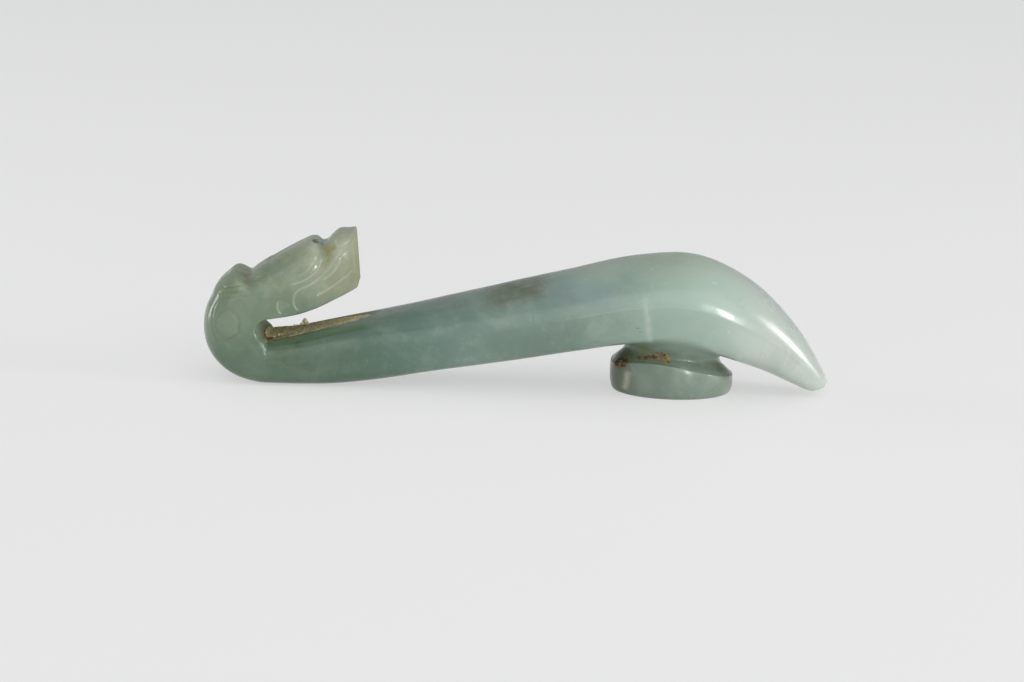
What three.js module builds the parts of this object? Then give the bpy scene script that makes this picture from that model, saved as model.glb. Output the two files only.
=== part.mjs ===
// Carved jade belt hook: a dragon head turned back over a curved shaft, a pointed tail,
// and an oval button on a short stem under the hump.
// Millimetres, +Z up. The hook runs along X with the tail at +X and is alike on both sides of Y = 0.
// The origin is the middle of the button's flat face, which rests on the ground plane
// together with the foot of the bend.
//
// The real hook is one stone. It is modelled here in the regions that a carver names, each a
// closed solid of its own that meets its neighbour on a whole flat face.

import * as THREE from "three";

// Lengths along the hook, from the middle of the button
const bendReach = 78.5;
const tailReach = 26.1;
const humpFront = 14;
const humpBack = 11;

// Shaft, hump and tail
const archHeight = 9.35;
const neckDepth = 7.45;
const humpDepth = 13.75;
const tipDepth = 0.8;
const neckWidth = 15;
const humpWidth = 20.7;
const tipWidth = 1.8;

// Bend and head
const bendDepth = 9.2;
const napeDepth = 7.7;
const browDepth = 11.2;
const headLength = 25.6;
const headWidth = 14.2;
const snoutWidth = 8.6;
const snoutLean = 0.8;
const snoutBevel = 0.25;

// Slit between head and shaft
const slitGap = 3.7;
const mouthGap = 5.9;

// Button and stem
const buttonLength = 20.7;
const buttonWidth = 17.3;
const buttonFaceLength = 19.5;
const buttonFaceWidth = 15.3;
const wallHeightFront = 4.7;
const wallHeightBack = 3;
const wallSideRise = 1.9;
const wallSkewShare = 0.47;
const shoulderHeightFront = 3;
const shoulderHeightBack = 2.1;
const stemLength = 15.5;
const stemWidth = 11.6;
const stemFlare = 4.6;
const stemClearance = 0.3;

// Points round a section, and sections along each region
const pointsRound = 32;
const sections = { tail: 15, hump: 12, shaft: 18, bend: 33, head: 28 };

// Body stations. The place runs from -1 at the slit's inner end through 0 at the button to 1 at
// the tip. The underside is a share of the arch, and depth and width run from the size at the
// neck or the tip (0) to that of the hump (1). The roundings are superellipse powers.
// place, underside, depth, width, rounding below, rounding above
const bodyShares = [
  [-1.00, 0.000, 0.00, 0.00, 5.0, 3.5],
  [-0.92, 0.000, 0.14, 0.00, 5.0, 3.5],
  [-0.84, 0.020, 0.33, 0.02, 5.0, 3.4],
  [-0.74, 0.115, 0.44, 0.12, 5.0, 3.0],
  [-0.59, 0.335, 0.54, 0.37, 5.5, 2.4],
  [-0.42, 0.560, 0.68, 0.64, 6.0, 2.3],
  [-0.24, 0.810, 0.80, 0.90, 6.0, 2.2],
  [-0.12, 0.965, 0.90, 0.98, 6.0, 2.2],
  [0.00, 1.000, 1.00, 1.00, 6.0, 2.2],
  [0.23, 0.835, 1.06, 0.95, 5.5, 2.2],
  [0.38, 0.695, 1.03, 0.89, 5.0, 2.2],
  [0.57, 0.510, 0.92, 0.75, 4.5, 2.2],
  [0.77, 0.240, 0.71, 0.53, 4.0, 2.2],
  [0.90, 0.090, 0.45, 0.34, 3.5, 2.2],
  [0.97, 0.120, 0.18, 0.18, 3.0, 2.2],
  [0.99, 0.150, 0.08, 0.09, 2.7, 2.2],
  [1.00, 0.190, 0.00, 0.00, 2.5, 2.2],
];

// Bend stations. The turn runs from 0 under the slit's end to 1 above it. The depth runs from the
// neck's to the bend's in the lower half and from the nape's to the bend's in the upper half,
// where the horn stands out ahead of the notch at the nape.
// turn, depth, width, rounding outside
const bendShares = [
  [0.08, 0.04, 0.00, 5.0],
  [0.18, 0.28, 0.00, 4.5],
  [0.29, 0.64, 0.00, 4.0],
  [0.39, 0.91, 0.00, 3.5],
  [0.50, 1.00, 0.00, 3.2],
  [0.60, 1.00, 0.10, 3.2],
  [0.65, 0.94, 0.20, 3.2],
  [0.69, 1.08, 0.30, 3.0],
  [0.77, 1.05, 0.40, 3.0],
  [0.82, 0.97, 0.50, 3.0],
  [0.86, -0.08, 0.60, 3.0],
  [0.92, 0.18, 0.80, 3.0],
];

// Head stations. The place runs from 0 above the slit's end to 1 at the snout. The gap opens
// from the slit's to the mouth's, the depth runs from the nape's (0) to the brow's (1), and the
// width from the head's (0) to the snout's (1).
// place, gap, depth, width, rounding on top
const headShares = [
  [0.00, 0.00, 0.42, 0.00, 3.0],
  [0.23, 0.00, 0.86, 0.18, 3.0],
  [0.36, 0.03, 1.04, 0.30, 3.0],
  [0.46, 0.10, 1.08, 0.38, 3.0],
  [0.53, 0.15, 0.97, 0.48, 3.0],
  [0.59, 0.21, 0.71, 0.58, 3.0],
  [0.66, 0.31, 0.65, 0.66, 3.0],
  [0.72, 0.42, 0.77, 0.72, 3.0],
  [0.80, 0.56, 0.84, 0.80, 3.2],
  [0.92, 0.80, 0.60, 0.94, 4.0],
  [1.00, 1.00, 0.42, 1.00, 5.0],
];

// The jaw's lower edges and the slit's inner end are crisper than the neck's domed top
const jawRounding = 24;
const crispTurn = 0.25;

// Button levels, from its flat face to the wall's top
// height as a share of the wall, size from the face's (0) to the widest (1)
const buttonWallShares = [
  [0.00, 0.00],
  [0.06, 0.35],
  [0.22, 0.72],
  [0.55, 1.00],
  [0.85, 0.98],
  [1.00, 0.90],
];

// Shoulder levels, from the wall's top to the stem
// height as a share of the shoulder, size from the stem's (0) to the widest (1)
const shoulderShares = [
  [0.20, 0.77],
  [0.55, 0.43],
  [1.00, 0.00],
];

// Stem levels between its foot and its top
// height as a share of the stem, flare from none (0) to the full one (1)
const stemSideShares = [
  [0.35, 0.18],
  [0.7, 0.56],
];
const stemTopShares = [1, 0.66, 0.33];

// Places that follow from the sizes
const slitRadius = slitGap / 2;
const slitEndX = bendDepth + slitRadius - bendReach;
const snoutX = headLength - bendReach;

const mix = THREE.MathUtils.lerp;

// A smooth curve through the rows of a table, whose first column is the place
function smoothTable(rows) {
  const places = rows.map((row) => row[0]);
  const values = rows.flatMap((row) => row.slice(1));
  const curve = new THREE.CubicInterpolant(places, values, rows[0].length - 1);
  return (place) => Array.from(curve.evaluate(place));
}

const bodyTable = smoothTable(bodyShares);

// A rib is one section of the stone: its outer and inner points in the XZ plane, its width,
// and the rounding of its outer and inner halves. Outside means below the shaft, round the
// bend and on top of the head.
function bodyRib(x) {
  const place = x < 0 ? -x / slitEndX : x / tailReach;
  const [underside, depthShare, widthShare, below, above] = bodyTable(place);
  const endDepth = x < 0 ? neckDepth : tipDepth;
  const endWidth = x < 0 ? neckWidth : tipWidth;
  const bottom = archHeight * underside;
  const depth = mix(endDepth, humpDepth, depthShare);
  return {
    outer: new THREE.Vector2(x, bottom),
    inner: new THREE.Vector2(x, bottom + depth),
    width: mix(endWidth, humpWidth, widthShare),
    outerPower: below,
    innerPower: above,
  };
}

const headTable = smoothTable(headShares);

function headRib(place) {
  const [gapShare, depthShare, widthShare, top] = headTable(place);
  const x = mix(slitEndX, snoutX, place);
  const jaw = bodyRib(x).inner.y + mix(slitGap, mouthGap, gapShare);
  const crown = jaw + mix(napeDepth, browDepth, depthShare);
  return {
    outer: new THREE.Vector2(x - snoutLean * place * place, crown),
    inner: new THREE.Vector2(x, jaw),
    width: mix(headWidth, snoutWidth, widthShare),
    outerPower: top,
    innerPower: jawRounding,
  };
}

// The bend's ribs fan out round the middle of the slit's inner end
const neckRib = bodyRib(slitEndX);
const napeRib = headRib(0);
const slitEnd = new THREE.Vector2(slitEndX, neckRib.inner.y + slitRadius);

function ribDepth(rib) {
  return rib.outer.distanceTo(rib.inner);
}

function bendRow([turn, depthShare, widthShare, outside]) {
  const endDepth = turn < 0.5 ? neckDepth : napeDepth;
  return [turn, mix(endDepth, bendDepth, depthShare), mix(neckWidth, headWidth, widthShare), outside];
}

const bendTable = smoothTable([
  [0, ribDepth(neckRib), neckRib.width, neckRib.outerPower],
  ...bendShares.map(bendRow),
  [1, ribDepth(napeRib), napeRib.width, napeRib.outerPower],
]);

function bendRib(turn) {
  const [depth, width, outside] = bendTable(turn);
  const direction = new THREE.Vector2(-Math.sin(turn * Math.PI), -Math.cos(turn * Math.PI));
  return {
    outer: slitEnd.clone().addScaledVector(direction, slitRadius + depth),
    inner: slitEnd.clone().addScaledVector(direction, slitRadius),
    width,
    outerPower: outside,
    innerPower: mix(neckRib.innerPower, jawRounding, THREE.MathUtils.smoothstep(turn, 0, crispTurn)),
  };
}

// The snout's end face is bevelled all round
function bevelledSnout() {
  const rib = headRib(1);
  const along = rib.outer.clone().sub(rib.inner).normalize();
  rib.inner.addScaledVector(along, snoutBevel);
  rib.outer.addScaledVector(along, -snoutBevel);
  rib.width -= 2 * snoutBevel;
  return rib;
}

function signedPower(value, power) {
  return Math.sign(value) * Math.abs(value) ** (2 / power);
}

function ribRing(rib) {
  const centre = rib.outer.clone().add(rib.inner).multiplyScalar(0.5);
  const halfDepth = rib.inner.clone().sub(rib.outer).multiplyScalar(0.5);
  const ring = [];
  for (let i = 0; i < pointsRound; i++) {
    const angle = (2 * Math.PI * i) / pointsRound;
    const power = Math.cos(angle) > 0 ? rib.innerPower : rib.outerPower;
    const along = signedPower(Math.cos(angle), power);
    const across = signedPower(Math.sin(angle), power);
    const point = centre.clone().addScaledVector(halfDepth, along);
    ring.push(new THREE.Vector3(point.x, (across * rib.width) / 2, point.y));
  }
  return ring;
}

// A closed solid over a row of rings, each run the same way round, with flat fans at the ends
function skin(rings, startCentre, endCentre) {
  const count = rings[0].length;
  const points = [...rings.flat(), startCentre, endCentre];
  const start = points.length - 2;
  const end = points.length - 1;
  const lastRing = (rings.length - 1) * count;
  const index = [];
  for (let j = 0; j < count; j++) {
    const next = (j + 1) % count;
    index.push(start, next, j);
    index.push(end, lastRing + j, lastRing + next);
    for (let base = 0; base < lastRing; base += count) {
      index.push(base + j, base + next, base + count + next);
      index.push(base + j, base + count + next, base + count + j);
    }
  }
  const geometry = new THREE.BufferGeometry().setFromPoints(points);
  geometry.setIndex(index);
  geometry.computeVertexNormals();
  return geometry;
}

function ringCentre(ring) {
  const opposite = ring[ring.length / 2];
  return ring[0].clone().lerp(opposite, 0.5);
}

function stoneGeometry(ribs) {
  const rings = ribs.map(ribRing);
  return skin(rings, ringCentre(rings[0]), ringCentre(rings.at(-1)));
}

// Ribs between two places, evenly spaced unless a spacing is given
function ribsBetween(makeRib, from, to, count, spacing = (share) => share) {
  return Array.from({ length: count }, (unused, i) => makeRib(mix(from, to, spacing(i / (count - 1)))));
}

// A spacing that closes up at its start, for the round point of the tail
function closeAtStart(share) {
  return 1 - Math.cos((share * Math.PI) / 2);
}

// Height of the body's underside over a point of the ground plane
function undersideHeight(x, y) {
  const rib = bodyRib(x);
  const middle = (rib.outer.y + rib.inner.y) / 2;
  const drop = (1 - Math.abs((2 * y) / rib.width) ** rib.outerPower) ** (1 / rib.outerPower);
  return middle - drop * (middle - rib.outer.y);
}

// An oval ring round the Z axis whose height depends on the place
function ovalRing(length, width, heightAt) {
  const ring = [];
  for (let i = 0; i < pointsRound; i++) {
    const angle = (2 * Math.PI * i) / pointsRound;
    const x = (Math.cos(angle) * length) / 2;
    const y = (Math.sin(angle) * width) / 2;
    ring.push(new THREE.Vector3(x, y, heightAt(x, y)));
  }
  return ring;
}

// The wall's top falls from the front to the back and stands higher at the sides, most towards the front
function wallTop(x, y) {
  const along = x / buttonLength;
  const side = (2 * y) / buttonWidth;
  const sideRise = wallSideRise * (1 - 2 * wallSkewShare * along) * side * side;
  return mix(wallHeightFront, wallHeightBack, along + 1 / 2) + sideRise;
}

// The seat of the stem on the button is one slanted plane
function stemSeat(x) {
  const front = wallHeightFront + shoulderHeightFront;
  const back = wallHeightBack + shoulderHeightBack;
  return mix(front, back, x / buttonLength + 1 / 2);
}

function buttonGeometry() {
  const wallRings = buttonWallShares.map(([level, size]) =>
    ovalRing(
      mix(buttonFaceLength, buttonLength, size),
      mix(buttonFaceWidth, buttonWidth, size),
      (x, y) => level * wallTop(x, y),
    ),
  );
  const shoulderRings = shoulderShares.map(([level, size]) =>
    ovalRing(
      mix(stemLength, buttonLength, size),
      mix(stemWidth, buttonWidth, size),
      (x, y) => mix(wallTop(x, y), stemSeat(x), level),
    ),
  );
  const seatCentre = new THREE.Vector3(0, 0, stemSeat(0));
  return skin([...wallRings, ...shoulderRings], new THREE.Vector3(), seatCentre);
}

// The stem flares sideways under the hump, whose underside its top follows
function stemGeometry() {
  const top = (x, y) => undersideHeight(x, y) - stemClearance;
  const foot = ovalRing(stemLength, stemWidth, stemSeat);
  const sides = stemSideShares.map(([level, flare]) =>
    ovalRing(stemLength, stemWidth + stemFlare * flare, (x, y) => mix(stemSeat(x), top(x, y), level)),
  );
  const tops = stemTopShares.map((share) =>
    ovalRing(stemLength * share, (stemWidth + stemFlare) * share, top),
  );
  const topCentre = new THREE.Vector3(0, 0, top(0, 0));
  return skin([foot, ...sides, ...tops], new THREE.Vector3(0, 0, stemSeat(0)), topCentre);
}

// Pale icy green stone, warmer at the head and deeper at the neck
function jade(colour, roughness) {
  return new THREE.MeshStandardMaterial({ color: colour, roughness, metalness: 0 });
}

const hook = new THREE.Group();

function addPiece(name, geometry, material) {
  const mesh = new THREE.Mesh(geometry, material);
  mesh.name = name;
  hook.add(mesh);
}

const tailRibs = ribsBetween(bodyRib, tailReach, humpBack, sections.tail, closeAtStart);
const humpRibs = ribsBetween(bodyRib, humpBack, -humpFront, sections.hump);
const shaftRibs = ribsBetween(bodyRib, -humpFront, slitEndX, sections.shaft);
const bendRibs = ribsBetween(bendRib, 0, 1, sections.bend);
const bevelStart = 1 - snoutBevel / (snoutX - slitEndX);
const headRibs = [...ribsBetween(headRib, 0, bevelStart, sections.head), bevelledSnout()];

addPiece("dragon_head", stoneGeometry(headRibs), jade(0xa3ad9f, 0.3));
addPiece("neck_bend", stoneGeometry(bendRibs), jade(0x93a598, 0.25));
addPiece("shaft", stoneGeometry(shaftRibs), jade(0x86a094, 0.25));
addPiece("hump", stoneGeometry(humpRibs), jade(0xa7bbb0, 0.22));
addPiece("tail", stoneGeometry(tailRibs), jade(0xb9c7bd, 0.22));
addPiece("button_stem", stemGeometry(), jade(0xa9b5a6, 0.35));
addPiece("button", buttonGeometry(), jade(0xa9b8ae, 0.28));

export default hook;
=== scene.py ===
"""Looks of the carved jade belt hook, worked out in millimetres and made in metres."""

import math

import bmesh
import bpy
import numpy as np
from mathutils import Matrix, Vector
from mathutils.kdtree import KDTree


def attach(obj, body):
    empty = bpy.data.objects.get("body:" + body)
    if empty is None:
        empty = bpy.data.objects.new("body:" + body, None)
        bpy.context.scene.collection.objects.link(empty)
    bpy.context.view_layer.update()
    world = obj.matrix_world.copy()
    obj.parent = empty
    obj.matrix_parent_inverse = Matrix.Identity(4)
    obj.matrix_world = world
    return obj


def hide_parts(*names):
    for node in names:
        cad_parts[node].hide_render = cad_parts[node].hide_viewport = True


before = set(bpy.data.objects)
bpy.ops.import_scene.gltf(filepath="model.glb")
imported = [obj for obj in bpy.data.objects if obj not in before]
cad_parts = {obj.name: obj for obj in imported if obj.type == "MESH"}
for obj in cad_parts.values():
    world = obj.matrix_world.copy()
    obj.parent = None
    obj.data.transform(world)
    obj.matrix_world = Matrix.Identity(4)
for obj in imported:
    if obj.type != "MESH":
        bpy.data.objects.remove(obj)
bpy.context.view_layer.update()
MM = 0.001

# Sizes of the stone
BEND_REACH, TAIL_REACH = 78.5, 26.1
HUMP_FRONT, HUMP_BACK = 14.0, 11.0
ARCH_HEIGHT, NECK_DEPTH, HUMP_DEPTH, TIP_DEPTH = 9.35, 7.45, 13.75, 0.8
NECK_WIDTH, HUMP_WIDTH, TIP_WIDTH = 15.0, 20.7, 1.8
BEND_DEPTH, NAPE_DEPTH, BROW_DEPTH = 9.2, 7.7, 11.2
HEAD_LENGTH, HEAD_WIDTH, SNOUT_WIDTH, SNOUT_LEAN = 25.6, 14.2, 8.6, 0.8
SLIT_GAP, MOUTH_GAP = 3.7, 5.9
SLIT_RADIUS = SLIT_GAP / 2
SLIT_END_X = BEND_DEPTH + SLIT_RADIUS - BEND_REACH
SNOUT_X = HEAD_LENGTH - BEND_REACH
BUTTON_LENGTH, BUTTON_WIDTH = 20.7, 17.3
FACE_LENGTH, FACE_WIDTH = 19.5, 15.3
WALL_FRONT, WALL_BACK, WALL_SIDE, WALL_SKEW = 4.7, 3.0, 1.9, 0.47
SHOULDER_FRONT, SHOULDER_BACK = 3.0, 2.1
STEM_LENGTH, STEM_WIDTH, STEM_FLARE = 15.5, 11.6, 4.6

# The body from the slit's end (-1) through the button's middle (0) to the tip (1). The underside is
# a share of the arch, and depth and width run from the size at the neck or tip (0) to the hump's (1).
# place, underside, depth, width, rounding below, rounding above
BODY = [
    (-1.00, 0.000, 0.00, 0.00, 5.0, 3.5),
    (-0.92, 0.000, 0.14, 0.00, 5.0, 3.5),
    (-0.84, 0.020, 0.33, 0.02, 5.0, 3.4),
    (-0.74, 0.115, 0.44, 0.12, 5.0, 3.0),
    (-0.59, 0.335, 0.54, 0.37, 5.5, 2.4),
    (-0.42, 0.560, 0.68, 0.64, 6.0, 2.3),
    (-0.24, 0.810, 0.80, 0.90, 6.0, 2.2),
    (-0.12, 0.965, 0.90, 0.98, 6.0, 2.2),
    (0.00, 1.000, 1.00, 1.00, 6.0, 2.2),
    (0.23, 0.835, 1.06, 0.95, 5.5, 2.2),
    (0.38, 0.695, 1.03, 0.89, 5.0, 2.2),
    (0.57, 0.510, 0.92, 0.75, 4.5, 2.2),
    (0.77, 0.240, 0.71, 0.53, 4.0, 2.2),
    (0.90, 0.090, 0.45, 0.34, 3.5, 2.2),
    (0.97, 0.120, 0.18, 0.18, 3.0, 2.2),
    (0.99, 0.150, 0.08, 0.09, 2.7, 2.2),
    (1.00, 0.190, 0.00, 0.00, 2.5, 2.2),
]
# turn round the slit's end, depth, width, rounding outside
BEND = [
    (0.08, 0.04, 0.00, 5.0),
    (0.18, 0.28, 0.00, 4.5),
    (0.29, 0.64, 0.00, 4.0),
    (0.39, 0.91, 0.00, 3.5),
    (0.50, 1.00, 0.00, 3.2),
    (0.60, 1.00, 0.10, 3.2),
    (0.65, 0.94, 0.20, 3.2),
    (0.69, 1.08, 0.30, 3.0),
    (0.77, 1.05, 0.40, 3.0),
    (0.82, 0.97, 0.50, 3.0),
    (0.86, -0.08, 0.60, 3.0),
    (0.92, 0.18, 0.80, 3.0),
]
# place, gap, depth, width, rounding on top
HEAD = [
    (0.00, 0.00, 0.42, 0.00, 3.0),
    (0.23, 0.00, 0.86, 0.18, 3.0),
    (0.36, 0.03, 1.04, 0.30, 3.0),
    (0.46, 0.10, 1.08, 0.38, 3.0),
    (0.53, 0.15, 0.97, 0.48, 3.0),
    (0.59, 0.21, 0.71, 0.58, 3.0),
    (0.66, 0.31, 0.65, 0.66, 3.0),
    (0.72, 0.42, 0.77, 0.72, 3.0),
    (0.80, 0.56, 0.84, 0.80, 3.2),
    (0.92, 0.80, 0.60, 0.94, 4.0),
    (1.00, 1.00, 0.42, 1.00, 5.0),
]
ARRIS = 24.0  # rounding of the jaw's lower edges and of the slit's end

ROUND = 352  # points round each section
RINGS = {"tail": 56, "hump": 60, "shaft": 140, "bend": 150, "head": 190}


def lerp(a, b, t):
    return a + (b - a) * t


def ease(low, high, value):
    """Rises softly from 0 at low to 1 at high, or falls where low is the larger."""
    t = np.clip((value - low) / (high - low), 0, 1)
    return t * t * (3 - 2 * t)


def window(value, start, rise_end, fall_start, end):
    """1 between the two middle places, falling softly to 0 at the outer ones."""
    return ease(start, rise_end, value) * ease(end, fall_start, value)


def bell(value, middle, half):
    """A soft peak of height 1 at the middle, and of the half width given."""
    return np.exp(-(((value - middle) / half) ** 2))


def table(rows):
    """A smooth curve through the rows of a table, whose first column is the place."""
    rows = np.array(rows, float)
    t, v = rows[:, 0], rows[:, 1:]
    last = len(t) - 1

    def at(places):
        places = np.atleast_1d(np.asarray(places, float))
        k = np.clip(np.searchsorted(t, places, side="right"), 1, last)
        t0, t1 = t[k - 1], t[k]
        before = np.where(k < 2, k, k - 2)
        after = np.where(k == last, k - 1, k + 1)
        w_before = (t1 - t0) / 2 / (t0 - t[before])
        w_after = (t1 - t0) / 2 / (t[after] - t1)
        p = (places - t0) / (t1 - t0)
        p2, p3 = p * p, p * p * p
        s_before = w_before * (2 * p2 - p3 - p)
        s0 = (1 + w_before) * p3 - (1.5 + 2 * w_before) * p2 + (w_before - 0.5) * p + 1
        s1 = (1.5 + w_after) * p2 - (1 + w_after) * p3 + 0.5 * p
        s_after = w_after * (p3 - p2)
        shares = ((s_before, before), (s0, k - 1), (s1, k), (s_after, after))
        return sum(share[:, None] * v[row] for share, row in shares)

    return at


# Ribs of the stone
body_table = table(BODY)


def raw_body(x):
    place = np.where(x < 0, -x / SLIT_END_X, x / TAIL_REACH)
    under, depth, width, below, above = body_table(place).T
    bottom = ARCH_HEIGHT * under
    depth = lerp(np.where(x < 0, NECK_DEPTH, TIP_DEPTH), HUMP_DEPTH, depth)
    width = lerp(np.where(x < 0, NECK_WIDTH, TIP_WIDTH), HUMP_WIDTH, width)
    return np.stack([bottom, bottom + depth, width, below, above], 1)


# The long polished surfaces flow more evenly than a table's curve, so it is smoothed along X
FINE_STEP = 0.1
SPREAD, CUT_OFF = 17, 60  # width and reach of the smoothing, in fine steps
fine_x = np.arange(SLIT_END_X, TAIL_REACH + FINE_STEP, FINE_STEP)
fine_body = raw_body(fine_x)
kernel = np.exp(-0.5 * (np.arange(-CUT_OFF, CUT_OFF + 1) / SPREAD) ** 2)
kernel /= kernel.sum()
before_end = 2 * fine_body[0] - fine_body[CUT_OFF:0:-1]
past_tip = 2 * fine_body[-1] - fine_body[-2 : -CUT_OFF - 2 : -1]
padded = np.concatenate([before_end, fine_body, past_tip])
soft_body = np.stack([np.convolve(c, kernel, "valid") for c in padded.T], 1)
soft_share = window(fine_x, -66, -58, 18, 22.5)
fine_body = lerp(fine_body, soft_body, soft_share[:, None])


def body_rib(x):
    """Outer and inner points in the XZ plane, width, and the outer and inner rounding."""
    x = np.atleast_1d(np.asarray(x, float))
    bottom, top, width, below, above = [np.interp(x, fine_x, c) for c in fine_body.T]
    return np.stack([x, bottom, x, top, width, below, above], 1)


head_table = table(HEAD)


def head_rib(place):
    place = np.atleast_1d(np.asarray(place, float))
    gap, depth, width, top = head_table(place).T
    x = lerp(SLIT_END_X, SNOUT_X, place)
    jaw = body_rib(x)[:, 3] + lerp(SLIT_GAP, MOUTH_GAP, gap)
    crown = jaw + lerp(NAPE_DEPTH, BROW_DEPTH, depth)
    width = lerp(HEAD_WIDTH, SNOUT_WIDTH, width)
    return np.stack([x - SNOUT_LEAN * place**2, crown, x, jaw, width, top, np.full_like(x, ARRIS)], 1)


neck, nape = body_rib(SLIT_END_X)[0], head_rib(0)[0]
SLIT_END_Z = neck[3] + SLIT_RADIUS


def bend_rows():
    rows = [(0, neck[3] - neck[1], neck[4], neck[5])]
    for turn, depth, width, outside in BEND:
        end = NECK_DEPTH if turn < 0.5 else NAPE_DEPTH
        rows.append((turn, lerp(end, BEND_DEPTH, depth), lerp(NECK_WIDTH, HEAD_WIDTH, width), outside))
    rows.append((1, nape[1] - nape[3], nape[4], nape[5]))
    return rows


bend_table = table(bend_rows())


def bend_rib(turn):
    depth, width, outside = bend_table(turn).T
    dx, dz = -np.sin(turn * math.pi), -np.cos(turn * math.pi)
    outer_x, outer_z = SLIT_END_X + dx * (SLIT_RADIUS + depth), SLIT_END_Z + dz * (SLIT_RADIUS + depth)
    inner_x, inner_z = SLIT_END_X + dx * SLIT_RADIUS, SLIT_END_Z + dz * SLIT_RADIUS
    inside = lerp(neck[6], ARRIS, ease(0, 0.25, turn))
    return np.stack([outer_x, outer_z, inner_x, inner_z, width, outside, inside], 1)


THETA = np.linspace(0, 2 * math.pi, 1921)
COS, SIN = np.cos(THETA), np.sin(THETA)


def rings_of(ribs, count=ROUND, ridge=0):
    """Points round each rib's section, the first on the inner side's middle, closer on a carved side."""
    out = np.empty((len(ribs), count, 3))
    for i, (ox, oz, ix, iz, width, outer, inner) in enumerate(ribs):
        power = np.where(COS > 0, inner, outer)
        r = (np.abs(COS) ** power + np.abs(SIN) ** power) ** (-1 / power)
        along, across = r * COS, r * SIN
        across = across * (1 + ridge * bell(along, 0, 0.07))
        x = lerp(ox, ix, (along + 1) / 2)
        z = lerp(oz, iz, (along + 1) / 2)
        y = across * width / 2
        carved = ease(-52, -66, ix) * ease(0.8, 0.95, np.abs(across[1:]))
        step = np.sqrt(np.diff(x) ** 2 + np.diff(y) ** 2 + np.diff(z) ** 2) * (1 + 1.2 * carved)
        run = np.concatenate([[0], np.cumsum(step)])
        at = np.linspace(0, run[-1], count, endpoint=False)
        out[i] = np.stack([np.interp(at, run, c) for c in (x, y, z)], 1)
    return out


tip_place = 1 - np.cos(np.linspace(0, math.pi / 2, RINGS["tail"]))
tail_x = lerp(TAIL_REACH, HUMP_BACK, tip_place)
hump_x = np.linspace(HUMP_BACK, -HUMP_FRONT, RINGS["hump"])[1:]
shaft_x = np.linspace(-HUMP_FRONT, SLIT_END_X, RINGS["shaft"])[1:]
body_x = np.concatenate([tail_x, hump_x, shaft_x])
turns = np.linspace(0, 1, RINGS["bend"])[1:]
places = np.linspace(0, 1, RINGS["head"])[1:]
stone = np.concatenate(
    [rings_of(body_rib(body_x), ridge=0.004), rings_of(bend_rib(turns)), rings_of(head_rib(places))]
)


def unit_cross(a, b):
    n = np.cross(a, b)
    return n / np.maximum(np.linalg.norm(n, axis=2, keepdims=True), 1e-9)


def grid_normals(grid):
    """Outward normals of a grid of rings."""
    n = unit_cross(np.gradient(grid, axis=0), np.roll(grid, -1, 1) - np.roll(grid, 1, 1))
    outward = grid - grid.mean(1, keepdims=True)
    return n if (outward * n).sum() > 0 else -n


# Carved relief
def spline(points, step=0.06):
    """Closely spaced points on a smooth curve through the given ones."""
    p = np.array(points, float)
    t = np.concatenate([[0], np.cumsum(np.linalg.norm(np.diff(p, axis=0), axis=1))])
    at = np.linspace(0, t[-1], max(int(t[-1] / step), 8))
    return table(np.column_stack([t, p]))(at)


def from_stroke(points, x, z, reach):
    """Signed distance to a stroke and the place along it, where it lies within reach."""
    curve = spline(points)
    tangent = np.gradient(curve, axis=0)
    tangent /= np.linalg.norm(tangent, axis=1, keepdims=True)
    low, high = curve.min(0) - reach, curve.max(0) + reach
    near = np.flatnonzero((x > low[0]) & (x < high[0]) & (z > low[1]) & (z < high[1]))
    dist, place = np.empty(len(near)), np.empty(len(near))
    for part in np.array_split(np.arange(len(near)), max(len(near) // 20000, 1)):
        d = np.stack([x[near[part]], z[near[part]]], 1)[:, None] - curve[None]
        square = (d**2).sum(2)
        k = square.argmin(1)
        best = d[np.arange(len(part)), k]
        side = tangent[k, 0] * best[:, 1] - tangent[k, 1] * best[:, 0]
        dist[part] = np.sqrt(square.min(1)) * np.where(side >= 0, 1, -1)
        place[part] = k / (len(curve) - 1)
    return near, dist, place


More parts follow.
